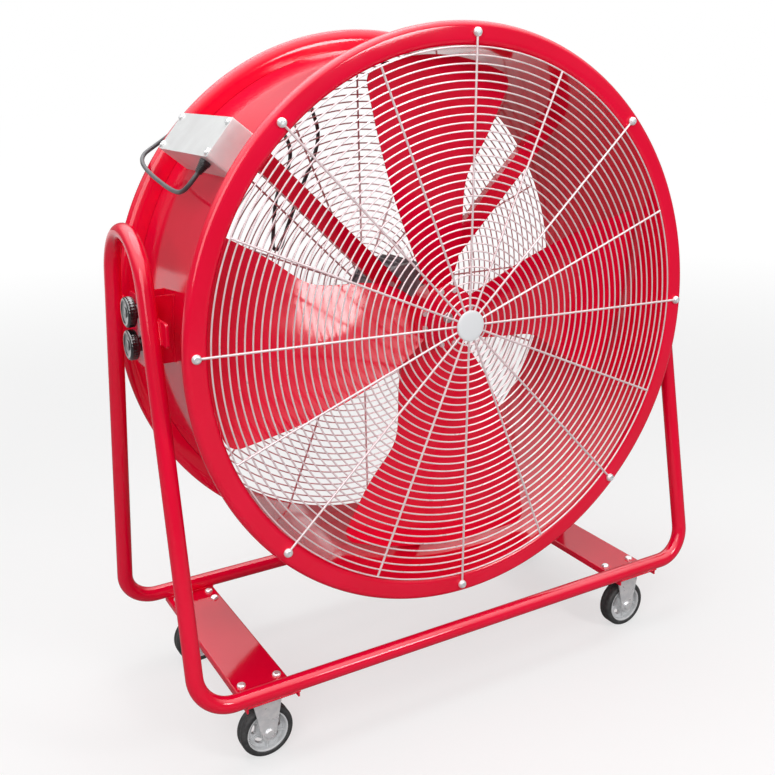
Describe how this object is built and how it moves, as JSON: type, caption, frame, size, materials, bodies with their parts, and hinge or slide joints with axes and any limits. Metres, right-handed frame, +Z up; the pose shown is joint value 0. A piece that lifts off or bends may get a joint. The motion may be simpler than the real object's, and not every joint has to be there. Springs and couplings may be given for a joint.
{
  "type": "drum fan",
  "caption": "Large round drum fan that tilts on a tubular stand with casters, with wire grilles front and rear and clamping knobs at the sides.",
  "frame": {"origin": "on the floor, under the middle of the stand", "axes": "+X to the right as seen from the front, -Y to the front (the side the air leaves), +Z up; the fan axis runs along Y and the tilt axis along X"},
  "size_m": [1.146, 0.4812, 1.2828],
  "materials": {
    "red_paint": "gloss",
    "stand_paint": "gloss",
    "grille_wire": "satin",
    "badge_white": "satin",
    "zinc": "satin",
    "motor_grey": "satin",
    "core_steel": "satin",
    "box_white": "satin",
    "black_plastic": "satin",
    "knob_black": "gloss",
    "cord_black": "matte",
    "tyre_rubber": "matte",
    "hub_grey": "satin"
  },
  "bodies": {
    "stand": {"frame_tube_left": "stand_paint", "frame_tube_right": "stand_paint", "frame_sleeves": "zinc", "base_channel_left": "stand_paint", "base_channel_right": "stand_paint", "caster_fork_front_left": "zinc", "caster_fork_front_right": "zinc", "caster_fork_rear_left": "zinc", "caster_fork_rear_right": "zinc", "caster_axles": "zinc", "caster_bolts": "zinc", "pivot_plate_left": "stand_paint", "pivot_plate_right": "stand_paint"},
    "wheel_front_left": {"tyre_front_left": "tyre_rubber", "wheel_hub_front_left": "hub_grey"},
    "wheel_front_right": {"tyre_front_right": "tyre_rubber", "wheel_hub_front_right": "hub_grey"},
    "wheel_rear_left": {"tyre_rear_left": "tyre_rubber", "wheel_hub_rear_left": "hub_grey"},
    "wheel_rear_right": {"tyre_rear_right": "tyre_rubber", "wheel_hub_rear_right": "hub_grey"},
    "drum": {"drum_shell": "red_paint", "front_grille": "grille_wire", "rear_grille": "grille_wire", "grille_badge": "badge_white", "drum_screws": "zinc", "tilt_bracket_left": "red_paint", "tilt_bracket_right": "red_paint", "tilt_studs": "zinc", "motor_housing": "motor_grey", "motor_bell_front": "motor_grey", "motor_bell_rear": "motor_grey", "motor_bearings": "core_steel", "stator": "core_steel", "motor_arm_1": "red_paint", "motor_arm_2": "red_paint", "motor_arm_3": "red_paint", "arm_bolts": "zinc", "junction_box": "box_white", "box_lid": "box_white", "capacitor": "black_plastic", "motor_lead": "cord_black", "cable_gland": "black_plastic", "power_cord": "cord_black", "cord_coil": "cord_black", "cord_clips": "black_plastic", "plug": "cord_black"},
    "impeller": {"impeller_hub": "red_paint", "blade_1": "red_paint", "blade_2": "red_paint", "blade_3": "red_paint", "blade_4": "red_paint", "hub_bolts": "zinc", "motor_shaft": "core_steel", "rotor": "core_steel"},
    "pivot_knob_left": {"pivot_knob_left": "knob_black"},
    "pivot_knob_right": {"pivot_knob_right": "knob_black"},
    "lock_knob_left": {"lock_knob_left": "knob_black"},
    "lock_knob_right": {"lock_knob_right": "knob_black"}
  },
  "joints": [
    {"name": "drum_tilt", "type": "hinge", "parent": "stand", "child": "drum", "pos_m": [0, 0, 0.748], "axis": [1, 0, 0], "range_deg": [-35, 35]},
    {"name": "impeller_spin", "type": "hinge", "parent": "drum", "child": "impeller", "pos_m": [0, 0, 0.748], "axis": [0, 1, 0], "continuous": true},
    {"name": "wheel_front_left_roll", "type": "hinge", "parent": "stand", "child": "wheel_front_left", "pos_m": [-0.425, -0.18, 0.05], "axis": [0, 1, 0], "continuous": true},
    {"name": "wheel_front_right_roll", "type": "hinge", "parent": "stand", "child": "wheel_front_right", "pos_m": [0.425, -0.18, 0.05], "axis": [0, 1, 0], "continuous": true},
    {"name": "wheel_rear_left_roll", "type": "hinge", "parent": "stand", "child": "wheel_rear_left", "pos_m": [-0.425, 0.18, 0.05], "axis": [0, 1, 0], "continuous": true},
    {"name": "wheel_rear_right_roll", "type": "hinge", "parent": "stand", "child": "wheel_rear_right", "pos_m": [0.425, 0.18, 0.05], "axis": [0, 1, 0], "continuous": true},
    {"name": "pivot_knob_left_turn", "type": "hinge", "parent": "drum", "child": "pivot_knob_left", "pos_m": [-0.557, 0, 0.748], "axis": [1, 0, 0], "range_deg": [-360, 360]},
    {"name": "pivot_knob_right_turn", "type": "hinge", "parent": "drum", "child": "pivot_knob_right", "pos_m": [0.557, 0, 0.748], "axis": [1, 0, 0], "range_deg": [-360, 360]},
    {"name": "lock_knob_left_turn", "type": "hinge", "parent": "drum", "child": "lock_knob_left", "pos_m": [-0.557, 0, 0.806], "axis": [1, 0, 0], "range_deg": [-360, 360]},
    {"name": "lock_knob_right_turn", "type": "hinge", "parent": "drum", "child": "lock_knob_right", "pos_m": [0.557, 0, 0.806], "axis": [1, 0, 0], "range_deg": [-360, 360]}
  ]
}
